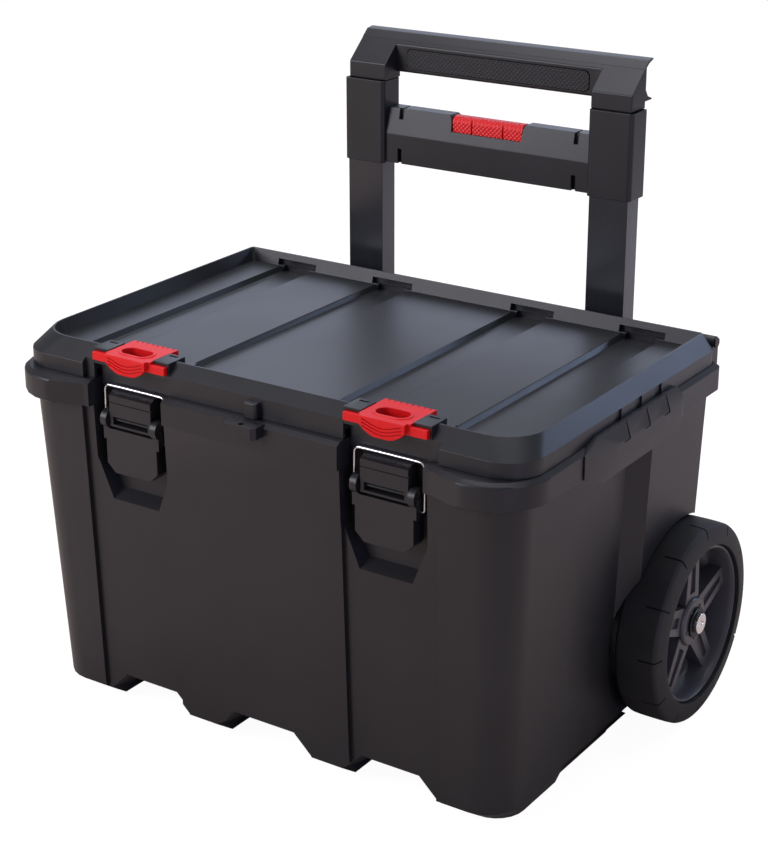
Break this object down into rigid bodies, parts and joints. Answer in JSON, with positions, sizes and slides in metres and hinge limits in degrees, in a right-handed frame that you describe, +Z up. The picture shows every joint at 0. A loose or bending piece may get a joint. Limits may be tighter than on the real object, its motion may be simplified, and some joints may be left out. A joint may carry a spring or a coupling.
{
  "type": "rolling toolbox",
  "caption": "Deep lidded toolbox on wheels with wire latches, sliding locks, side finger grips and a telescopic pull handle.",
  "frame": {"origin": "centre of the bounding box, on the ground", "axes": "+X to the box's right as seen from the front, +Y to the back where the handle is, +Z up"},
  "size_m": [0.5652, 0.4146, 0.557],
  "materials": {
    "black_plastic": "fine-grained black polypropylene",
    "red_plastic": "satin red plastic",
    "soft_rubber": "dull black rubber",
    "grey_nylon": "plain dark nylon",
    "painted_tube": "satin dark paint on steel tube",
    "plain_steel": "plain zinc-plated steel",
    "bright_steel": "bright plated steel"
  },
  "bodies": {
    "tub": {"tub": "black_plastic", "handle_guide_left": "black_plastic", "guide_bush_left": "grey_nylon", "axle_left": "plain_steel", "axle_washer_left": "plain_steel", "axle_screw_left": "bright_steel", "hinge_pin_left": "plain_steel", "latch_pin_left": "plain_steel", "side_grip_left": "black_plastic", "handle_guide_right": "black_plastic", "guide_bush_right": "grey_nylon", "axle_right": "plain_steel", "axle_washer_right": "plain_steel", "axle_screw_right": "bright_steel", "hinge_pin_right": "plain_steel", "latch_pin_right": "plain_steel", "side_grip_right": "black_plastic"},
    "lid": {"lid": "black_plastic", "lid_seal": "soft_rubber", "lock_cover_left_outer": "black_plastic", "lock_cover_left_inner": "black_plastic", "lock_cover_right_outer": "black_plastic", "lock_cover_right_inner": "black_plastic"},
    "handle_outer": {"yoke_front": "black_plastic", "yoke_rear": "black_plastic", "button_spring": "plain_steel", "post_left": "painted_tube", "post_bush_left": "grey_nylon", "post_right": "painted_tube", "post_bush_right": "grey_nylon"},
    "handle_inner": {"grip_front": "black_plastic", "grip_rear": "black_plastic", "grip_pad": "soft_rubber", "inner_tube_left": "painted_tube", "tube_stop_left": "grey_nylon", "inner_tube_right": "painted_tube", "tube_stop_right": "grey_nylon"},
    "button": {"release_button": "red_plastic"},
    "lock_left": {"lock_left": "red_plastic"},
    "lever_left": {"latch_lever_left": "black_plastic"},
    "bail_left": {"latch_bail_left": "bright_steel"},
    "wheel_left": {"tyre_left": "soft_rubber", "wheel_hub_left": "black_plastic", "hub_bush_left": "grey_nylon"},
    "bolt_left": {"lock_bolt_left": "plain_steel"},
    "lock_right": {"lock_right": "red_plastic"},
    "lever_right": {"latch_lever_right": "black_plastic"},
    "bail_right": {"latch_bail_right": "bright_steel"},
    "wheel_right": {"tyre_right": "soft_rubber", "wheel_hub_right": "black_plastic", "hub_bush_right": "grey_nylon"},
    "bolt_right": {"lock_bolt_right": "plain_steel"}
  },
  "joints": [
    {"name": "lid_hinge", "type": "hinge", "parent": "tub", "child": "lid", "pos_m": [0, 0.1516, 0.328], "axis": [-1, 0, 0], "range_deg": [0, 90]},
    {"name": "handle_outer_slide", "type": "slide", "parent": "tub", "child": "handle_outer", "axis": [0, 0, 1], "range_m": [-0.09, 0.1]},
    {"name": "handle_inner_slide", "type": "slide", "parent": "handle_outer", "child": "handle_inner", "axis": [0, 0, 1], "range_m": [0, 0.24]},
    {"name": "button_press", "type": "slide", "parent": "handle_outer", "child": "button", "axis": [0, 0, -1], "range_m": [0, 0.004], "stiffness_N_per_m": 400, "springref_m": -0.006, "deforming": ["button_spring"]},
    {"name": "lock_slide_left", "type": "slide", "parent": "lid", "child": "lock_left", "axis": [0, -1, 0], "range_m": [0, 0.01]},
    {"name": "latch_lever_left_swing", "type": "hinge", "parent": "tub", "child": "lever_left", "pos_m": [-0.1288, -0.1847, 0.28], "axis": [-1, 0, 0], "range_deg": [0, 100]},
    {"name": "latch_bail_left_swing", "type": "hinge", "parent": "lever_left", "child": "bail_left", "pos_m": [-0.1288, -0.1811, 0.267], "axis": [-1, 0, 0], "range_deg": [-100, 0]},
    {"name": "wheel_left_turn", "type": "hinge", "parent": "tub", "child": "wheel_left", "pos_m": [-0.26045, 0.087, 0.0912], "axis": [1, 0, 0], "continuous": true},
    {"name": "lock_bolt_left_slide", "type": "slide", "parent": "handle_outer", "child": "bolt_left", "axis": [1, 0, 0], "range_m": [0, 0.004]},
    {"name": "lock_slide_right", "type": "slide", "parent": "lid", "child": "lock_right", "axis": [0, -1, 0], "range_m": [0, 0.01]},
    {"name": "latch_lever_right_swing", "type": "hinge", "parent": "tub", "child": "lever_right", "pos_m": [0.1288, -0.1847, 0.28], "axis": [-1, 0, 0], "range_deg": [0, 100]},
    {"name": "latch_bail_right_swing", "type": "hinge", "parent": "lever_right", "child": "bail_right", "pos_m": [0.1288, -0.1811, 0.267], "axis": [-1, 0, 0], "range_deg": [-100, 0]},
    {"name": "wheel_right_turn", "type": "hinge", "parent": "tub", "child": "wheel_right", "pos_m": [0.26045, 0.087, 0.0912], "axis": [1, 0, 0], "continuous": true},
    {"name": "lock_bolt_right_slide", "type": "slide", "parent": "handle_outer", "child": "bolt_right", "axis": [-1, 0, 0], "range_m": [0, 0.004]}
  ],
  "couplings": [
    {"joint": "latch_bail_left_swing", "follows": "latch_lever_left_swing", "ratio": -1},
    {"joint": "lock_bolt_left_slide", "follows": "button_press", "ratio": 1},
    {"joint": "latch_bail_right_swing", "follows": "latch_lever_right_swing", "ratio": -1},
    {"joint": "lock_bolt_right_slide", "follows": "button_press", "ratio": 1}
  ]
}
